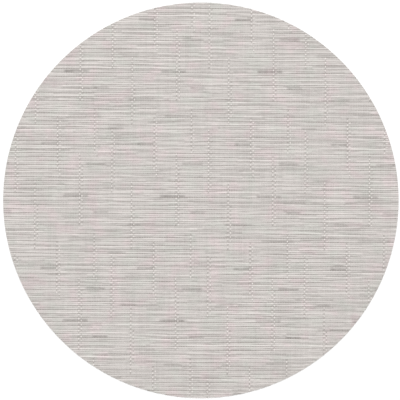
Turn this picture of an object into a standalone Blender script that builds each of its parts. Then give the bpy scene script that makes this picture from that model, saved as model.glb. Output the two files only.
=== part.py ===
"""A round placemat cut from ribbed woven cloth, lying flat.

Metres, +Z up. The origin is the centre of the underside, which rests on z = 0. The weft yarns
run along X as raised ribs, and the side away from the diner is towards +Y. The mat is one cut
of cloth with no hem, binding or backing, so it is one solid.
"""

import math

import bmesh
import bpy

# Driving dimensions of the cut cloth.
MAT_DIAMETER = 0.381
MAT_RADIUS = MAT_DIAMETER / 2
CLOTH_THICKNESS = 0.0016

# The cloth repeats a broad weft yarn and a slightly narrower, lower one. The pairs stop just
# short of the near and far points of the rim.
YARN_PAIRS = 98
PAIR_PITCH = 0.003875

# Heights above the underside: the two crests and the valleys on either side of the broad yarn.
BROAD_CREST = CLOTH_THICKNESS
NARROW_CREST = 0.00148
DEEP_VALLEY = 0.00112
SHALLOW_VALLEY = 0.00124

# The section of one pair across the ribs, one row for each change of slope.
# Columns: share of the pair's pitch, height.
PAIR_SECTION = (
    (0.00, DEEP_VALLEY),
    (0.13, BROAD_CREST),
    (0.40, BROAD_CREST),
    (0.52, SHALLOW_VALLEY),
    (0.63, NARROW_CREST),
    (0.87, NARROW_CREST),
)

# Hand-fed yarn is never quite even. Each pair in turn takes the next width of this cycle, whose
# mean is 1, so that the unevenness doesn't add up across the mat.
PAIR_WIDTHS = (1.00, 1.07, 0.94, 1.03, 0.98, 0.93, 1.05)


def rib_lines():
    """The straight lines along X where the cloth's top changes slope, as (y, height)."""
    lines = []
    y = -YARN_PAIRS * PAIR_PITCH / 2
    for pair in range(YARN_PAIRS):
        width = PAIR_PITCH * PAIR_WIDTHS[pair % len(PAIR_WIDTHS)]
        for share, height in PAIR_SECTION:
            lines.append((y + share * width, height))
        y += width
    lines.append((y, DEEP_VALLEY))
    return lines


def half_chord(y):
    """Half the width of the round mat at y."""
    return math.sqrt(MAT_RADIUS**2 - y**2)


def ribbed_disc(name, lines):
    """A closed round mat: ribs above, flat below, and an upright cut edge all round."""
    shape = bmesh.new()

    def across(y, height):
        """The four corners of the cloth at y: top left, top right, under left, under right."""
        x = half_chord(y)
        return [
            shape.verts.new((side * x, y, z)) for z in (height, 0.0) for side in (-1, 1)
        ]

    sections = [across(y, height) for y, height in lines]
    for near, far in zip(sections, sections[1:]):
        shape.faces.new((near[0], near[1], far[1], far[0]))
        shape.faces.new((near[2], far[2], far[3], near[3]))
        shape.faces.new((near[0], far[0], far[2], near[2]))
        shape.faces.new((near[1], near[3], far[3], far[1]))

    for (top_left, top_right, under_left, under_right), y in (
        (sections[0], -MAT_RADIUS),
        (sections[-1], MAT_RADIUS),
    ):
        top_point = shape.verts.new((0.0, y, DEEP_VALLEY))
        under_point = shape.verts.new((0.0, y, 0.0))
        shape.faces.new((top_left, top_right, top_point))
        shape.faces.new((under_left, under_right, under_point))
        shape.faces.new((top_left, top_point, under_point, under_left))
        shape.faces.new((top_point, top_right, under_right, under_point))

    bmesh.ops.recalc_face_normals(shape, faces=shape.faces)
    mesh = bpy.data.meshes.new(name)
    shape.to_mesh(mesh)
    shape.free()
    mat = bpy.data.objects.new(name, mesh)
    bpy.context.scene.collection.objects.link(mat)
    return mat


def woven_yarn():
    """Smooth pale yarn: a warm grey between shell and oatmeal, slightly glossy."""
    material = bpy.data.materials.new("woven_yarn")
    material.use_nodes = True
    shader = material.node_tree.nodes["Principled BSDF"]
    shader.inputs["Base Color"].default_value = (0.604, 0.571, 0.546, 1.0)
    shader.inputs["Roughness"].default_value = 0.55
    shader.inputs["Metallic"].default_value = 0.0
    return material


def main():
    for thing in list(bpy.data.objects):
        bpy.data.objects.remove(thing, do_unlink=True)
    mat = ribbed_disc("woven_mat", rib_lines())
    mat.data.materials.append(woven_yarn())


main()
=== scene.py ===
"""A round placemat cut from ribbed woven cloth: its yarns, their finish, and a plain studio."""

import math

import bmesh
import bpy
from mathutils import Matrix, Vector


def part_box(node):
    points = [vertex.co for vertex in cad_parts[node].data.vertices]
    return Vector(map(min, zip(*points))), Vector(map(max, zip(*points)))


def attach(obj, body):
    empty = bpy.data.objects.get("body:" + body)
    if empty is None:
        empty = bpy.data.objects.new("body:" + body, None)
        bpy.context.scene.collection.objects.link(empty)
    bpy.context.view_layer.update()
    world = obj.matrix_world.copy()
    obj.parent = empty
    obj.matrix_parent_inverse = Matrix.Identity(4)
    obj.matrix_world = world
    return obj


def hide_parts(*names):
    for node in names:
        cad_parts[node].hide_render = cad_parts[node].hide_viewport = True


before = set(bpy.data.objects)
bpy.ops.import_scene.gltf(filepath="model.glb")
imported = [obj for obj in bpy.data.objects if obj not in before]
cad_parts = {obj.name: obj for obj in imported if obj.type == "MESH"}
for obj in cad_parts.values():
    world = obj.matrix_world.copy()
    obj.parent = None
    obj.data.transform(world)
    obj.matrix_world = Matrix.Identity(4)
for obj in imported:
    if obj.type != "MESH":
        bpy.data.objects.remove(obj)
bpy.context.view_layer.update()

MM = 0.001

# The mat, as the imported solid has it.
MAT_LOW, MAT_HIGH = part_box("woven_mat")
MAT_RADIUS = (MAT_HIGH.x - MAT_LOW.x) / 2
CLOTH_THICKNESS = MAT_HIGH.z - MAT_LOW.z

# The weave. Weft yarns run along X in pairs, a broad one and a narrow one, and warp ends run
# along Y. The pattern repeats after CELL_WARPS ends and CELL_PAIRS pairs. The middle pair lies
# PAIR_CENTRE off the middle of the mat, and the two yarns of a pair lie YARN_PITCH apart.
PAIR_PITCH = 3.874 * MM
WARP_PITCH = 2.387 * MM
CELL_WARPS = 39
CELL_PAIRS = 31
PAIR_CENTRE = 0.55 * MM
YARN_PITCH = 1.77 * MM
BROAD_LINE = PAIR_CENTRE - YARN_PITCH / 2
NARROW_LINE = PAIR_CENTRE + YARN_PITCH / 2

# The thin ground that shows between the yarns. It stops just inside their cut ends, and its
# edge slopes in and up from the rim.
GROUND_RADIUS = MAT_RADIUS - 0.08 * MM
GROUND_LOW = 0.42 * MM
GROUND_HIGH = 0.98 * MM
EDGE_IN = 0.5 * MM
EDGE_UP = 0.1 * MM
EDGE_STEPS = 480

# Pairs and warp ends are numbered from the middle of the mat, and these are the last ones
# inside the rim.
LAST_PAIR = math.floor(MAT_RADIUS / PAIR_PITCH)
LAST_WARP = math.floor(MAT_RADIUS / WARP_PITCH)

# Chains of short oval floats, like the joints of split cane: in each repeat, the warp end that
# carries the chain, the pair where it starts, how many pairs it crosses, which yarn of each
# pair it lies on, and how proud it stands. Each chain has a fainter one beside it.
OVER_BROAD = 0
OVER_NARROW = 1
CANE_JOINTS = (
    (3, 2, 16, OVER_NARROW, 1.0),
    (4, 3, 14, OVER_BROAD, 0.7),
    (11, 19, 17, OVER_NARROW, 1.0),
    (12, 21, 9, OVER_BROAD, 0.8),
    (20, 8, 13, OVER_BROAD, 1.0),
    (21, 6, 14, OVER_NARROW, 0.7),
    (29, 25, 18, OVER_NARROW, 1.0),
    (30, 25, 15, OVER_BROAD, 0.8),
    (35, 12, 11, OVER_BROAD, 1.0),
    (36, 11, 9, OVER_NARROW, 0.6),
)

# Darker strokes, where the yarn of a pair changes to a deeper grey: in each repeat, the pair,
# the warp end where it starts, how many ends it runs, and how dark it is.
DARK_STROKES = (
    (1, 22, 11, 1.00),
    (5, 6, 8, 0.40),
    (9, 31, 9, 0.70),
    (14, 13, 8, 0.90),
    (18, 1, 7, 0.40),
    (21, 24, 14, 0.55),
    (25, 9, 12, 0.45),
    (28, 34, 7, 0.75),
)

# A stroke fades in and out over this many warp ends.
STROKE_FADE = 1.0

# How strongly a yarn's tone leans away from the next one's, and how its blocks of tone are made
# up: the part that repeats with the weave, and the part that doesn't.
NEXT_YARN_SHARE = 0.7
REPEATING_SHARE = 0.75
FREE_SHARE = 1.15

# How long the blocks are: the two kinds of tone and the painted glint on the crests in warp ends,
# and the blocks that follow the warp in pairs of weft.
REPEATING_ENDS = 19
FREE_ENDS = 16
PAINTED_GLINT_ENDS = 34
WARP_BLOCK_PAIRS = 12

# What else changes a weft yarn's tone, as shares of the way from the deepest grey to ivory.
WARP_BLOCK_TONE = 0.03
# Painted shading: over the crimp, the yarn is paler where it bulges over a warp end and deeper
# between.
CRIMP_PAINTED_SHADING = 0.02
FLECK_TONE = 0.052
MOTTLE_TONE = 0.07
STROKE_TONE = 0.34

# How a weft yarn's thickness goes with its tone: the change of its width as a share, and how
# far its crest rises.
BLOCK_SWELL = 0.02
BLOCK_RISE = 0.02 * MM
STROKE_SWELL = 0.05
STROKE_FALL = 0.05 * MM

# Slow unevenness along a yarn, as its length, and the place and the row where its noise is
# read, so that no two kinds on a yarn match. The shares say how much they change the depth of
# a stroke, the blush and the width of the yarn, and SWAY_MOST how far they move its line.
SPECKLE = (2.6 * MM, 0.0, 0.6)
FLECK = (2.7 * MM, 0.7, 0.2)
BLUSH_RUN = (20 * MM, 0.9, 0.0)
SWELL_RUN = (34 * MM, 0.3, 0.0)
SWAY = (30 * MM, 0.0, 0.4)
SPECKLE_SHARE = 0.15
BLUSH_RUN_SHARE = 0.2
SWELL_SHARE = 0.05
SWAY_MOST = 0.30 * MM

# A warp end's tone, and how it changes along the end.
WARP_TONE = 0.3
WARP_TONE_SHARE = 0.05
WARP_TONE_RUN = (20 * MM, 0.0, 0.0)

# Soft patches over the whole cloth, as their length, their width, and the place along and
# across where their noise is read. Weft is never beaten up quite straight: it is drawn aside by
# up to DRAWN_MOST.
DRAWN = (70 * MM, 11 * MM, 0.0, 0.0)
DRAWN_MOST = 0.24 * MM
MOTTLE = (30 * MM, 16 * MM, 0.0, 5.0)
BLUSH = (19 * MM, 18 * MM, 3.0, 0.0)
BLUSH_SHARE = 1.35

# Noise lies around one half, and this brings it to about -1 to 1. Rows of noise this far apart
# don't match.
NOISE_SPREAD = 3.2
ROWS_APART = 7.31

# One seed for each use of chance. The two of the painted crest glint are added to the yarn's own
# seed.
SEED_ROW_TONE = 3
SEED_REPEATING_START = 14
SEED_REPEATING_TONE = 26
SEED_FREE_START = 8
SEED_FREE_TONE = 32
SEED_PAINTED_GLINT_START = 7
SEED_PAINTED_GLINT = 31
SEED_WARP_BLOCK_START = 40
SEED_WARP_BLOCK_TONE = 41
SEED_FLOAT_TONE = 9
SEED_FLOAT_SIZE = 17

# Room for the numbers of one row's blocks.
BLOCKS_PER_ROW = 64

# A cane joint draws in the yarn beside it within JOINT_REACH of a warp pitch on each side. The
# end that carries it loses JOINT_TURN of its crimp, so that it comes up where it would pass
# under. The faintest float would sit FAINT_SINK lower than a proud one, and no float's middle
# comes nearer the rim than FLOAT_CLEARANCE. A share below NO_JOINT means no joint.
JOINT_REACH = 0.3
JOINT_TURN = 1.6
FAINT_SINK = 0.25 * MM
FLOAT_CLEARANCE = 1.2 * MM
NO_JOINT = 0.1

# A float's tone and how much a proud one adds, and how far chance changes its tone and size.
FLOAT_TONE = 0.8
PROUD_TONE = 0.25
FLOAT_TONE_CHANCE = 0.2
SMALLEST_FLOAT = 0.85
LARGEST_FLOAT = 1.1

# A yarn has this many steps for each thread that it crosses. Points nearer the rim than
# LAST_STEP of a step are dropped, and the last one left is moved out to the rim.
STEPS_PER_CROSSING = 2
LAST_STEP = 0.35

# Values that the shape trees store for their own use. The finished meshes don't need them.
WORKING_VALUES = ("row", "place", "painted_highlight", "crest", "warp", "pair")


class Figure:
    """A number or vector that a node tree works out, so that formulas read as plain sums."""

    def __init__(self, recipe, socket):
        self.recipe = recipe
        self.socket = socket

    def maths(self, operation, *others):
        return self.recipe.maths(operation, self, *others)

    def __add__(self, other):
        return self.maths("ADD", other)

    def __sub__(self, other):
        return self.maths("SUBTRACT", other)

    def __mul__(self, other):
        return self.maths("MULTIPLY", other)

    def __truediv__(self, other):
        return self.maths("DIVIDE", other)

    def __radd__(self, other):
        return self.recipe.maths("ADD", other, self)

    def __rsub__(self, other):
        return self.recipe.maths("SUBTRACT", other, self)

    def __rmul__(self, other):
        return self.recipe.maths("MULTIPLY", other, self)

    def whole(self):
        return self.maths("FLOOR")

    def within(self, cycle):
        """The remainder, from 0 up to the cycle, also below zero."""
        return self.maths("FLOORED_MODULO", cycle)

    def below(self, limit):
        return self.maths("LESS_THAN", limit)

    def root(self):
        return self.maths("SQRT")

    def size(self):
        return self.maths("ABSOLUTE")

    def at_least(self, limit):
        return self.maths("MAXIMUM", limit)

    def at_most(self, limit):
        return self.maths("MINIMUM", limit)

    def share(self):
        """The figure, held between 0 and 1."""
        return self.at_least(0.0).at_most(1.0)

    def wave(self):
        """A wave from 1 to -1 and back with each whole number."""
        return (self * 2 * math.pi).maths("COSINE")


class Recipe:
    """A node tree while it is being written, for a shape or for a material."""

    def __init__(self, tree):
        self.tree = tree

    def feed(self, socket, value):
        """Links a figure or a socket to this input, or sets the input to a plain value."""
        if isinstance(value, Figure):
            value = value.socket
        if isinstance(value, bpy.types.NodeSocket):
            self.tree.links.new(value, socket)
        else:
            socket.default_value = value

    def put(self, kind, feeds=None, **settings):
        """Adds a node, feeds its inputs by name or number, and returns it."""
        node = self.tree.nodes.new(kind)
        for name, value in settings.items():
            setattr(node, name, value)
        for name, value in (feeds or {}).items():
            if isinstance(name, int):
                socket = node.inputs[name]
            else:
                socket = next(s for s in node.inputs if s.name == name and s.enabled)
            self.feed(socket, value)
        return node

    def figure(self, kind, feeds=None, output=None, **settings):
        """Adds a node and returns one of its outputs, the first unless it is named."""
        node = self.put(kind, feeds, **settings)
        usable = [s for s in node.outputs if s.enabled]
        if output is not None:
            usable = [s for s in usable if s.name == output]
        return Figure(self, usable[0])

    def maths(self, operation, *values):
        return self.figure("ShaderNodeMath", dict(enumerate(values)), operation=operation)

    def vector(self, x, y, z):
        return self.figure("ShaderNodeCombineXYZ", {"X": x, "Y": y, "Z": z})

    def parts_of(self, vector):
        node = self.put("ShaderNodeSeparateXYZ", {"Vector": vector})
        return [Figure(self, socket) for socket in node.outputs]

    def unevenness(self, along, across):
        """Smooth noise over a plane, mostly from -1 to 1."""
        noise = self.figure(
            "ShaderNodeTexNoise",
            {"Vector": self.vector(along, across, 0.0), "Scale": 1.0, "Detail": 1.0},
            noise_dimensions="2D",
        )
        return (noise - 0.5) * NOISE_SPREAD


class ShapeRecipe(Recipe):
    """A Geometry Nodes tree with named inputs, ending in realised instances and a material."""

    def __init__(self, name, inputs):
        super().__init__(bpy.data.node_groups.new(name, "GeometryNodeTree"))
        face = self.tree.interface
        face.new_socket(name="Geometry", in_out="OUTPUT", socket_type="NodeSocketGeometry")
        for label, kind in inputs.items():
            face.new_socket(name=label, in_out="INPUT", socket_type="NodeSocket" + kind)
        self.entry = self.tree.nodes.new("NodeGroupInput")

    def asked(self, label):
        return Figure(self, self.entry.outputs[label])

    def position(self):
        return self.parts_of(self.figure("GeometryNodeInputPosition"))

    def stored(self, name):
        return self.figure(
            "GeometryNodeInputNamedAttribute", {"Name": name}, data_type="FLOAT"
        )

    def store(self, shape, name, value):
        return self.figure(
            "GeometryNodeStoreNamedAttribute",
            {"Geometry": shape, "Name": name, "Value": value},
            data_type="FLOAT",
            domain="POINT",
        )

    def move(self, shape, x, y, z, only=None):
        feeds = {"Geometry": shape, "Position": self.vector(x, y, z)}
        if only is not None:
            feeds["Selection"] = only
        return self.figure("GeometryNodeSetPosition", feeds)

    def chance(self, number, seed, low, high):
        """A random figure that depends only on a whole number and the seed."""
        return self.figure(
            "FunctionNodeRandomValue",
            {"Min": low, "Max": high, "ID": number, "Seed": seed},
            data_type="FLOAT",
        )

    def wander(self, along, row, kind):
        """Slow unevenness of this kind along a yarn, different for each row."""
        length, place, row_of_noise = kind
        return self.unevenness((along + place) / length, (row + row_of_noise) * ROWS_APART)

    def patches(self, x, y, kind):
        """Soft patches of this kind over the whole cloth."""
        length, width, place_along, place_across = kind
        return self.unevenness((x + place_along) / length, (y + place_across) / width)

    def trim_to_cut(self, shape, radius):
        """Draws what reaches past the round cut back to it, so that each yarn ends flush, and
        lifts what would sink below the floor."""
        x, y, z = self.position()
        reach = (x * x + y * y).root()
        share = (radius / reach.at_least(radius)).at_most(1.0)
        return self.move(shape, x * share, y * share, z.at_least(0.0))

    def finish(self, shape):
        shape = self.figure("GeometryNodeRealizeInstances", {"Geometry": shape})
        shape = self.figure("GeometryNodeSetShadeSmooth", {"Geometry": shape})
        shape = self.figure(
            "GeometryNodeSetMaterial", {"Geometry": shape, "Material": self.asked("Material")}
        )
        self.put("NodeGroupOutput", {"Geometry": shape})
        return self.tree


def made_from(name, tree, material, **sizes):
    """Runs a shape tree with these inputs and returns its result as a plain mesh object."""
    holder = bpy.data.objects.new(name + "_source", bpy.data.meshes.new(name + "_source"))
    bpy.context.scene.collection.objects.link(holder)
    modifier = holder.modifiers.new("weave", "NODES")
    modifier.node_group = tree
    sizes["Material"] = material
    for socket in tree.interface.items_tree:
        if socket.in_out == "INPUT":
            modifier[socket.identifier] = sizes[socket.name.replace(" ", "_")]
    graph = bpy.context.evaluated_depsgraph_get()
    mesh = bpy.data.meshes.new_from_object(holder.evaluated_get(graph), depsgraph=graph)
    bpy.data.objects.remove(holder)
    mesh.name = name
    for working_value in WORKING_VALUES:
        if working_value in mesh.attributes:
            mesh.attributes.remove(mesh.attributes[working_value])
    piece = bpy.data.objects.new(name, mesh)
    bpy.context.scene.collection.objects.link(piece)
    return piece


def joint_share(warp, pair, side):
    """How proud a warp end's cane joint stands over that yarn of this pair, 0 where it has none.
    Whole numbers are compared half a step off, clear of rounding."""
    found = 0.0
    for end, first, length, lies_on, proud in CANE_JOINTS:
        if lies_on == side:
            on_end = (warp - end).within(CELL_WARPS).below(0.5)
            on_pair = (pair - first).within(CELL_PAIRS).below(length - 0.5)
            found = on_end * on_pair * proud + found
    return found


def stroke_share(place, pair):
    """How dark the stroke is where the yarn of this pair passes this place, counted in warp
    ends, or 0. A stroke fades in and out over its last ends."""
    found = 0.0
    for row, start, length, depth in DARK_STROKES:
        on_pair = (pair - row).within(CELL_PAIRS).below(0.5)
        along = (place - start).within(CELL_WARPS)
        on_ends = (along / STROKE_FADE).share() * ((length - along) / STROKE_FADE).share()
        found = on_pair * on_ends * depth + found
    return found


def repeating_block(recipe, warp, yarn, ends, seed):
    """The number of the block of yarn that holds this crossing, the same in each repeat. Each
    row of blocks starts at its own end, so that the blocks break joint like bricks."""
    row = yarn.within(2 * CELL_PAIRS).whole()
    shift = recipe.chance(row, seed, 0.0, float(CELL_WARPS)).whole()
    return row * BLOCKS_PER_ROW + ((warp + shift).within(CELL_WARPS) / ends).whole()


def free_block(recipe, along, row, length, seed):
    """The number of the block that holds this place along a row, where blocks of this length
    never repeat."""
    shift = recipe.chance(row, seed, 0.0, float(length)).whole()
    return row * BLOCKS_PER_ROW + ((along + shift) / length).whole()


def unlike_next(figure_of, yarn):
    """A random figure for this yarn that leans away from the next one's, so that pale and deep
    yarns tend to take turns and form no broad bands."""
    return figure_of(yarn) - figure_of(yarn + 1) * NEXT_YARN_SHARE


def drawn_aside(recipe, x, y):
    """How far the weft is drawn out of true towards +Y at this place on the mat."""
    return recipe.patches(x, y, DRAWN) * DRAWN_MOST


LAY_INPUTS = {
    "Cut Radius": "Float",
    "Line": "Float",
    "Row Pitch": "Float",
    "First Row": "Int",
    "Rows": "Int",
    "Half Length": "Float",
    "Along": "Float",
    "Steps": "Int",
    "Width": "Float",
    "Height": "Float",
    "Middle": "Float",
    "Crimp": "Float",
    "Seed": "Int",
    "Material": "Material",
}


def laid_lines(recipe, are_warp=False):
    """Lines along X, one for each row, from rim to rim of the round cut. They have a point at
    each step, and carry the number of their row and each point's place before the cloth is
    drawn aside. Lines that become warp are turned to run along Y afterwards."""
    asked = recipe.asked
    rows = recipe.figure("GeometryNodeMeshLine", {"Count": asked("Rows")})
    number = recipe.figure("GeometryNodeInputIndex") + asked("First Row")
    rows = recipe.store(rows, "row", number)
    rows = recipe.move(rows, 0.0, number * asked("Row Pitch") + asked("Line"), 0.0)
    half = asked("Half Length")
    line = recipe.figure(
        "GeometryNodeCurvePrimitiveLine",
        {
            "Start": recipe.vector(asked("Along") - half, 0.0, 0.0),
            "End": recipe.vector(asked("Along") + half, 0.0, 0.0),
        },
    )
    line = recipe.figure(
        "GeometryNodeResampleCurve", {"Curve": line, "Count": asked("Steps") + 1}
    )
    lines = recipe.figure(
        "GeometryNodeInstanceOnPoints", {"Points": rows, "Instance": line}
    )
    lines = recipe.figure("GeometryNodeRealizeInstances", {"Geometry": lines})

    x, y, z = recipe.position()
    lines = recipe.store(lines, "place", x)
    if are_warp:
        lines = recipe.move(lines, x + drawn_aside(recipe, y, x), y, z)
    else:
        lines = recipe.move(lines, x, y + drawn_aside(recipe, x, y), z)
    radius = asked("Cut Radius")
    inner_side = (y.size() - asked("Width") / 2).at_least(0.0)
    reach = (radius * radius - inner_side * inner_side).at_least(0.0).root()
    step = 2 * half / asked("Steps")
    outside = 1 - x.size().below(reach - step * LAST_STEP)
    lines = recipe.figure(
        "GeometryNodeDeleteGeometry", {"Geometry": lines, "Selection": outside}
    )
    ends = recipe.figure("GeometryNodeCurveEndpointSelection")
    return recipe.move(lines, x.maths("SIGN") * reach, y, z, only=ends)


def yarns_along(recipe, lines, swell):
    """Closed flattened yarns along these lines, swollen or drawn in by a share. Each has a painted
    highlight: its tone is raised along its crest and lowered at its sides by the stored painted
    highlight."""
    lines = recipe.figure("GeometryNodeSetCurveNormal", {"Curve": lines}, mode="Z_UP")
    section = recipe.figure("GeometryNodeCurvePrimitiveCircle", {"Resolution": 6, "Radius": 0.5})
    section = recipe.figure(
        "GeometryNodeTransform", {"Geometry": section, "Rotation": (0.0, 0.0, math.pi / 6)}
    )
    # Swept along a line, the section's own Y points down. The crest is 1 at the top corner, half a
    # unit above the middle, and 0 at the others, which are no more than a quarter above. It masks
    # the painted highlight.
    down = recipe.position()[1]
    section = recipe.store(section, "crest", (down * -4 - 1).share())
    # The six corners leave the section narrower than its circle by the cosine of 30 degrees.
    width = recipe.asked("Width") / math.cos(math.pi / 6)
    section = recipe.figure(
        "GeometryNodeTransform",
        {"Geometry": section, "Scale": recipe.vector(width, recipe.asked("Height"), 1.0)},
    )
    yarns = recipe.figure(
        "GeometryNodeCurveToMesh",
        {"Curve": lines, "Profile Curve": section, "Scale": swell, "Fill Caps": True},
    )
    # Painted highlight: the tone is raised along the crest and lowered at the sides by the painted
    # highlight strength.
    above_mean = recipe.stored("crest") - 0.5
    tone = recipe.stored("tone") + above_mean * recipe.stored("painted_highlight")
    yarns = recipe.store(yarns, "tone", tone)
    return recipe.trim_to_cut(yarns, recipe.asked("Cut Radius"))


WEFT_INPUTS = {
    **LAY_INPUTS,
    "Is Narrow": "Float",
    "Joint Dip": "Float",
    "Joint Waist": "Float",
    "Tone": "Float",
    "Row Tone": "Float",
    "Block Tone": "Float",
    "Stroke Depth": "Float",
    # The painted highlight along the crests: its mean and its random glint.
    "Painted_Highlight_Mean": "Float",
    "Painted_Glint": "Float",
}


def weft_chances(recipe, yarn, pair, warp):
    """The random figures of a weft yarn at this crossing, from about -1 to 1: its own tone, the
    tone of its block, that of the block along the warp, and how strongly the painted highlight on
    its crest shows."""

    def own_tone(row):
        return recipe.chance(row, SEED_ROW_TONE, -1.0, 1.0)

    def repeating_tone(row):
        block = repeating_block(recipe, warp, row, REPEATING_ENDS, SEED_REPEATING_START)
        return recipe.chance(block, SEED_REPEATING_TONE, -1.0, 1.0)

    def free_tone(row):
        block = free_block(recipe, warp, row, FREE_ENDS, SEED_FREE_START)
        return recipe.chance(block, SEED_FREE_TONE, -1.0, 1.0)

    row_tone = unlike_next(own_tone, yarn)
    block_tone = (
        unlike_next(repeating_tone, yarn) * REPEATING_SHARE
        + unlike_next(free_tone, yarn) * FREE_SHARE
    )
    warp_block = free_block(recipe, pair, warp, WARP_BLOCK_PAIRS, SEED_WARP_BLOCK_START)
    warp_block_tone = recipe.chance(warp_block, SEED_WARP_BLOCK_TONE, -1.0, 1.0)
    seed = recipe.asked("Seed")
    painted_glint_block = free_block(recipe, warp, pair, PAINTED_GLINT_ENDS, seed + SEED_PAINTED_GLINT_START)
    painted_glint = recipe.chance(painted_glint_block, seed + SEED_PAINTED_GLINT, -1.0, 1.0)
    return row_tone, block_tone, warp_block_tone, painted_glint


def weft_tree():
    """Flattened yarns along X that bulge over each warp end, and draw in beside a joint."""
    recipe = ShapeRecipe("weft_yarns", WEFT_INPUTS)
    asked = recipe.asked
    lines = laid_lines(recipe)
    x, y = recipe.position()[:2]
    pair = recipe.stored("row")
    side = asked("Is Narrow")
    yarn = pair * 2 + side
    place = x / WARP_PITCH
    warp = (place + 0.5).whole()
    over_warp = place.wave()
    on_end = (place - warp).size().below(JOINT_REACH)
    beside_joint = on_end * (
        joint_share(warp, pair, OVER_NARROW) * (1 - side)
        + joint_share(warp, pair, OVER_BROAD) * side
    )
    speckle = 1 + recipe.wander(x + side, pair, SPECKLE) * SPECKLE_SHARE
    stroke = stroke_share(place, pair) * asked("Stroke Depth") * speckle

    row_tone, block_tone, warp_block_tone, painted_glint = weft_chances(recipe, yarn, pair, warp)
    tone = (
        asked("Tone")
        + row_tone * asked("Row Tone")
        + block_tone * asked("Block Tone")
        + warp_block_tone * WARP_BLOCK_TONE
        # Painted shading: paler where the yarn bulges over a warp end.
        + over_warp * CRIMP_PAINTED_SHADING
        + recipe.wander(x + side, pair, FLECK) * FLECK_TONE
        + recipe.patches(x, y, MOTTLE) * MOTTLE_TONE
        - stroke * STROKE_TONE
    )
    lines = recipe.store(lines, "tone", tone)
    # Painted highlight along each crest: its strength is the mean, the block's tone and a random
    # glint, and a stroke takes it away.
    painted_highlight = asked("Painted_Highlight_Mean") + block_tone * asked("Block Tone") + painted_glint * asked("Painted_Glint")
    lines = recipe.store(lines, "painted_highlight", painted_highlight * (1 - stroke))
    blush = recipe.patches(x, y, BLUSH) * BLUSH_SHARE
    blush = blush + recipe.wander(x, pair, BLUSH_RUN) * BLUSH_RUN_SHARE
    lines = recipe.store(lines, "blush", blush)

    swell = 1 + recipe.wander(x, pair, SWELL_RUN) * SWELL_SHARE + block_tone * BLOCK_SWELL
    swell = swell - beside_joint * asked("Joint Waist") - stroke * STROKE_SWELL
    height = asked("Middle") + over_warp * asked("Crimp") - beside_joint * asked("Joint Dip")
    height = height - stroke * STROKE_FALL + block_tone * BLOCK_RISE
    sway = recipe.wander(x + side, pair, SWAY) * SWAY_MOST
    lines = recipe.move(lines, x, y + sway, height)
    return recipe.finish(yarns_along(recipe, lines, swell))


def warp_tree():
    """Fine ends along Y. They rise between the pairs of weft and pass under each pair, but at
    a cane joint the end comes up, and the yarn beside the float dips under it."""
    recipe = ShapeRecipe("warp_ends", LAY_INPUTS)
    lines = laid_lines(recipe, are_warp=True)
    x, y = recipe.position()[:2]
    warp = recipe.stored("row")
    place = (recipe.stored("place") - PAIR_CENTRE) / PAIR_PITCH
    pair = (place + 0.5).whole()
    raised = joint_share(warp, pair, OVER_BROAD) + joint_share(warp, pair, OVER_NARROW)
    tone = WARP_TONE + recipe.wander(x, warp, WARP_TONE_RUN) * WARP_TONE_SHARE
    lines = recipe.store(lines, "tone", tone)
    lines = recipe.store(lines, "painted_highlight", 0.0)
    lines = recipe.store(lines, "blush", 0.0)
    under_pair = place.wave() * (1 - raised * JOINT_TURN)
    height = recipe.asked("Middle") - under_pair * recipe.asked("Crimp")
    lines = recipe.move(lines, y, x, height)
    return recipe.finish(yarns_along(recipe, lines, 1.0))


JOINT_INPUTS = {
    "Cut Radius": "Float",
    "Float Width": "Float",
    "Float Length": "Float",
    "Float Height": "Float",
    "Middle": "Float",
    "Segments": "Int",
    "Rings": "Int",
    "Material": "Material",
}


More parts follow.
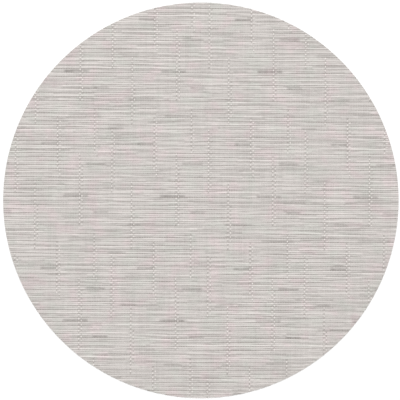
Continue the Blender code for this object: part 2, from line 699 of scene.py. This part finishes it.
def joint_tree():
    """The short oval floats of the cane joints, one where a warp end crosses over a yarn."""
    recipe = ShapeRecipe("cane_joints", JOINT_INPUTS)
    asked = recipe.asked
    ends = recipe.figure("GeometryNodeMeshLine", {"Count": 2 * LAST_WARP + 1})
    warp = recipe.figure("GeometryNodeInputIndex") - LAST_WARP
    ends = recipe.store(ends, "warp", warp)
    ends = recipe.move(ends, warp * WARP_PITCH, 0.0, 0.0)
    pairs = recipe.figure("GeometryNodeMeshLine", {"Count": 2 * LAST_PAIR + 1})
    pair = recipe.figure("GeometryNodeInputIndex") - LAST_PAIR
    pairs = recipe.store(pairs, "pair", pair)
    pairs = recipe.move(pairs, 0.0, pair * PAIR_PITCH, 0.0)
    grid = recipe.figure("GeometryNodeInstanceOnPoints", {"Points": ends, "Instance": pairs})
    grid = recipe.figure("GeometryNodeRealizeInstances", {"Geometry": grid})

    x, y, z = recipe.position()
    warp = recipe.stored("warp")
    pair = recipe.stored("pair")
    over_broad = joint_share(warp, pair, OVER_BROAD)
    over_narrow = joint_share(warp, pair, OVER_NARROW)
    line = NARROW_LINE - YARN_PITCH * (1 - over_broad.below(NO_JOINT))
    proud = over_broad + over_narrow
    inside = ((x * x + y * y).root() + FLOAT_CLEARANCE).below(asked("Cut Radius"))
    missing = (proud * inside).below(NO_JOINT)
    grid = recipe.figure(
        "GeometryNodeDeleteGeometry", {"Geometry": grid, "Selection": missing}
    )
    number = recipe.figure("GeometryNodeInputIndex")
    tone_chance = recipe.chance(number, SEED_FLOAT_TONE, -FLOAT_TONE_CHANCE, FLOAT_TONE_CHANCE)
    grid = recipe.store(grid, "tone", FLOAT_TONE + proud * PROUD_TONE + tone_chance)
    grid = recipe.store(grid, "blush", 0.0)
    grid = recipe.move(grid, x, y + line, asked("Middle") - (1 - proud) * FAINT_SINK)
    grid = recipe.move(grid, x, y + drawn_aside(recipe, x, y), z)
    bead = recipe.figure(
        "GeometryNodeMeshUVSphere",
        {"Segments": asked("Segments"), "Rings": asked("Rings"), "Radius": 0.5},
    )
    bead = recipe.figure(
        "GeometryNodeTransform",
        {
            "Geometry": bead,
            "Scale": recipe.vector(
                asked("Float Width"), asked("Float Length"), asked("Float Height")
            ),
        },
    )
    size = recipe.chance(number, SEED_FLOAT_SIZE, SMALLEST_FLOAT, LARGEST_FLOAT)
    floats = recipe.figure(
        "GeometryNodeInstanceOnPoints", {"Points": grid, "Instance": bead, "Scale": size}
    )
    return recipe.finish(floats)


def mixed(recipe, share, first, second, kind="MIX"):
    """Two colours mixed by a share. The inputs go by number, because the node has several of
    the same name."""
    node = recipe.put("ShaderNodeMix", data_type="RGBA", blend_type=kind)
    recipe.feed(node.inputs[0], share)
    recipe.feed(node.inputs[6], first)
    recipe.feed(node.inputs[7], second)
    return Figure(recipe, node.outputs[2])


def graded(recipe, share, stops):
    """A colour that runs from stop to stop, given as (place, colour), as the share rises."""
    ramp = recipe.put("ShaderNodeValToRGB", {"Fac": share})
    points = ramp.color_ramp.elements
    points[0].position, points[0].color = stops[0]
    points[1].position, points[1].color = stops[-1]
    for place, colour in stops[1:-1]:
        points.new(place).color = colour
    return Figure(recipe, ramp.outputs["Color"])


def srgb(red, green, blue):
    """A screen colour, 0 to 255, as the linear colour that a shader takes."""
    shares = [value / 255 for value in (red, green, blue)]
    linear = [v / 12.92 if v <= 0.04045 else ((v + 0.055) / 1.055) ** 2.4 for v in shares]
    return (*linear, 1.0)


# The yarn's colours by tone, and the tints that its blush lays over them.
DEEP_GREY = srgb(136, 130, 126)
OATMEAL = srgb(196, 191, 187)
IVORY = srgb(231, 225, 221)
SAGE = (0.935, 0.966, 0.950, 1.0)
PLAIN = (0.958, 0.958, 0.958, 1.0)
SHELL_PINK = (0.998, 0.941, 0.967, 1.0)

# The ground between the yarns, where it is darkest and where it is palest: the deeper grey of the
# backing yarn, darkened further by painted groove shade.
DARK_GROUND_AND_SHADE = srgb(142, 134, 129)
PALE_GROUND_AND_SHADE = srgb(168, 160, 155)

# The waves of a yarn's grain to the metre, along, across and through the cloth, and how much
# the grain changes the tone.
GRAIN_WAVES = (90.0, 4200.0, 900.0)
GRAIN_TONE = 0.16

# The waves of the ground's roughness to the metre.
GROUND_WAVES = 1400.0


def yarn_finish(name):
    """Smooth moulded yarn. The tone runs from the deep grey of a stroke to ivory, and the blush
    runs from sage to shell pink. Fine lines follow the yarn. The tone it reads also holds the
    painted highlight along each crest and the painted shading over each warp end."""
    material = bpy.data.materials.new(name)
    material.use_nodes = True
    recipe = Recipe(material.node_tree)
    shader = material.node_tree.nodes["Principled BSDF"]
    tone = recipe.figure("ShaderNodeAttribute", output="Fac", attribute_name="tone")
    blush = recipe.figure("ShaderNodeAttribute", output="Fac", attribute_name="blush")
    place = recipe.figure("ShaderNodeTexCoord", output="Object")
    lines = recipe.figure("ShaderNodeMapping", {"Vector": place, "Scale": GRAIN_WAVES})
    grain = recipe.figure("ShaderNodeTexNoise", {"Vector": lines, "Scale": 1.0, "Detail": 3.0})

    shade = graded(
        recipe,
        tone + (grain - 0.5) * GRAIN_TONE,
        ((0.0, DEEP_GREY), (0.5, OATMEAL), (1.0, IVORY)),
    )
    tint = graded(
        recipe,
        blush * 0.5 + 0.5,
        ((0.08, SAGE), (0.33, PLAIN), (0.66, PLAIN), (0.92, SHELL_PINK)),
    )
    recipe.feed(shader.inputs["Base Color"], mixed(recipe, 1.0, shade, tint, kind="MULTIPLY"))
    recipe.feed(shader.inputs["Roughness"], grain * 0.25 + 0.36)
    shader.inputs["Specular IOR Level"].default_value = 0.4
    bump = recipe.figure(
        "ShaderNodeBump", {"Height": grain, "Strength": 0.45, "Distance": 0.12 * MM}
    )
    recipe.feed(shader.inputs["Normal"], bump)
    return material


def weft_yarns(material):
    """The broad and the narrow yarns, each in a half near the diner and a far half."""
    tree = weft_tree()
    common = dict(
        Cut_Radius=MAT_RADIUS,
        Row_Pitch=PAIR_PITCH,
        Half_Length=(LAST_WARP + 1) * WARP_PITCH,
        Along=0.0,
        Steps=2 * (LAST_WARP + 1) * STEPS_PER_CROSSING,
        Crimp=0.027 * MM,
        Joint_Dip=0.37 * MM,
        Joint_Waist=0.26,
        Row_Tone=0.045,
        Block_Tone=0.075,
        # The mean painted highlight along the crests and its random glint.
        Painted_Highlight_Mean=-0.03,
        Painted_Glint=0.29,
    )
    broad = dict(
        Line=BROAD_LINE,
        Width=1.98 * MM,
        Height=1.48 * MM,
        Middle=0.83 * MM,
        Is_Narrow=0.0,
        Tone=0.61,
        Stroke_Depth=1.0,
        Seed=3,
        **common,
    )
    narrow = dict(
        Line=NARROW_LINE,
        Width=1.82 * MM,
        Height=1.36 * MM,
        Middle=0.80 * MM,
        Is_Narrow=1.0,
        Tone=0.60,
        Stroke_Depth=0.25,
        Seed=71,
        **common,
    )
    halves = {"near": (-LAST_PAIR, LAST_PAIR), "far": (0, LAST_PAIR + 1)}
    made = []
    for kind, sizes in {"broad": broad, "narrow": narrow}.items():
        for half, (first, rows) in halves.items():
            name = f"{kind}_weft_{half}"
            made.append(
                made_from(name, tree, material, First_Row=first, Rows=rows, **sizes)
            )
    return made


def warp_ends(material):
    """The fine ends along Y, left and right of the middle."""
    tree = warp_tree()
    sizes = dict(
        Cut_Radius=MAT_RADIUS - 0.06 * MM,
        Line=0.0,
        Row_Pitch=WARP_PITCH,
        Half_Length=(LAST_PAIR + 1) * PAIR_PITCH,
        Along=PAIR_CENTRE,
        Steps=2 * (LAST_PAIR + 1) * STEPS_PER_CROSSING,
        Width=1.0 * MM,
        Height=0.42 * MM,
        Middle=0.92 * MM,
        Crimp=0.22 * MM,
        Seed=0,
    )
    return [
        made_from("warp_ends_left", tree, material, First_Row=-LAST_WARP, Rows=LAST_WARP, **sizes),
        made_from("warp_ends_right", tree, material, First_Row=0, Rows=LAST_WARP + 1, **sizes),
    ]


def cane_joints(material):
    """All the oval floats of the chains, as one piece."""
    return made_from(
        "cane_joints",
        joint_tree(),
        material,
        Cut_Radius=MAT_RADIUS,
        Float_Width=1.35 * MM,
        Float_Length=1.9 * MM,
        Float_Height=0.7 * MM,
        Middle=1.3 * MM,
        Segments=8,
        Rings=5,
    )


def ground_cloth(material):
    """The thin ground between the yarns, which ends just inside their cut ends."""
    edge = (
        (GROUND_RADIUS - EDGE_IN, GROUND_LOW),
        (GROUND_RADIUS, GROUND_LOW + EDGE_UP),
        (GROUND_RADIUS, GROUND_HIGH - EDGE_UP),
        (GROUND_RADIUS - EDGE_IN, GROUND_HIGH),
    )
    shape = bmesh.new()
    low = shape.verts.new((0.0, 0.0, GROUND_LOW))
    high = shape.verts.new((0.0, 0.0, GROUND_HIGH))
    rings = []
    for turn in range(EDGE_STEPS):
        angle = 2 * math.pi * turn / EDGE_STEPS
        rings.append(
            [shape.verts.new((r * math.cos(angle), r * math.sin(angle), z)) for r, z in edge]
        )
    for here, there in zip(rings, rings[1:] + rings[:1]):
        shape.faces.new((low, there[0], here[0]))
        shape.faces.new((high, here[-1], there[-1]))
        for level in range(len(here) - 1):
            shape.faces.new((here[level], there[level], there[level + 1], here[level + 1]))
    bmesh.ops.recalc_face_normals(shape, faces=shape.faces)
    mesh = bpy.data.meshes.new("mat_cloth")
    shape.to_mesh(mesh)
    shape.free()
    mesh.shade_smooth()
    mesh.materials.append(material)
    cloth = bpy.data.objects.new("mat_cloth", mesh)
    bpy.context.scene.collection.objects.link(cloth)
    return cloth


def ground_colour_and_painted_shade():
    """The ground that shows between the yarns: the same yarn in a deeper grey, darkened further by
    painted shade of the grooves.
    """
    material = bpy.data.materials.new("shaded_ground")
    material.use_nodes = True
    recipe = Recipe(material.node_tree)
    shader = material.node_tree.nodes["Principled BSDF"]
    place = recipe.figure("ShaderNodeTexCoord", output="Object")
    weave = recipe.figure(
        "ShaderNodeTexNoise", {"Vector": place, "Scale": GROUND_WAVES, "Detail": 3.0}
    )
    recipe.feed(shader.inputs["Base Color"], mixed(recipe, weave, DARK_GROUND_AND_SHADE, PALE_GROUND_AND_SHADE))
    recipe.feed(shader.inputs["Roughness"], weave * 0.3 + 0.5)
    bump = recipe.figure(
        "ShaderNodeBump", {"Height": weave, "Strength": 0.4, "Distance": 0.2 * MM}
    )
    recipe.feed(shader.inputs["Normal"], bump)
    return material


def pale_floor():
    """A plain pale floor under the mat."""
    mesh = bpy.data.meshes.new("floor")
    reach = 3.0
    corners = [(-reach, -reach, 0), (reach, -reach, 0), (reach, reach, 0), (-reach, reach, 0)]
    mesh.from_pydata(corners, [], [(0, 1, 2, 3)])
    floor = bpy.data.objects.new("floor", mesh)
    bpy.context.scene.collection.objects.link(floor)
    material = bpy.data.materials.new("pale_floor")
    material.use_nodes = True
    shader = material.node_tree.nodes["Principled BSDF"]
    shader.inputs["Base Color"].default_value = (0.95, 0.95, 0.95, 1.0)
    shader.inputs["Roughness"].default_value = 0.9
    shader.inputs["Specular IOR Level"].default_value = 0.0
    mesh.materials.append(material)


def soft_light():
    """Plain soft light from all round, and from a wide lamp above and a little behind."""
    world = bpy.data.worlds.new("soft_daylight")
    world.use_nodes = True
    world.node_tree.nodes["Background"].inputs["Color"].default_value = (1.0, 1.0, 1.0, 1.0)
    world.node_tree.nodes["Background"].inputs["Strength"].default_value = 0.735
    bpy.context.scene.world = world

    light = bpy.data.lights.new("window", "AREA")
    light.shape = "RECTANGLE"
    light.size = 2.4
    light.size_y = 1.8
    light.energy = 41.6
    lamp = bpy.data.objects.new("window", light)
    lamp.location = (-0.1, 0.9, 2.6)
    bpy.context.scene.collection.objects.link(lamp)
    lamp.rotation_euler = lamp.location.to_track_quat("Z", "Y").to_euler()


def camera():
    """Straight down, with the mat where the photo's frame has it: so many pixels off its
    middle, and turned a little."""
    pixel = 0.9632 * MM
    pixels_wide = 400
    lens = 85.0
    sensor = 36.0
    frame_width = pixels_wide * pixel
    roll = math.radians(0.318)
    off_right = 0.87 * pixel
    off_up = -0.29 * pixel
    data = bpy.data.cameras.new("camera")
    data.lens = lens
    data.sensor_width = sensor
    view = bpy.data.objects.new("camera", data)
    height = CLOTH_THICKNESS + frame_width * lens / sensor
    view.location = (
        -off_right * math.cos(roll) + off_up * math.sin(roll),
        -off_right * math.sin(roll) - off_up * math.cos(roll),
        height,
    )
    view.rotation_euler = (0.0, 0.0, roll)
    bpy.context.scene.collection.objects.link(view)
    bpy.context.scene.camera = view


camera()
pale_floor()
soft_light()
yarn = yarn_finish("woven_yarn_finish")
cloth = ground_cloth(ground_colour_and_painted_shade())
pieces = [*weft_yarns(yarn), *warp_ends(yarn), cane_joints(yarn)]

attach(cloth, "root")
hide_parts("woven_mat")
for piece in pieces:
    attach(piece, "root")

bpy.context.scene.view_settings.view_transform = "Standard"
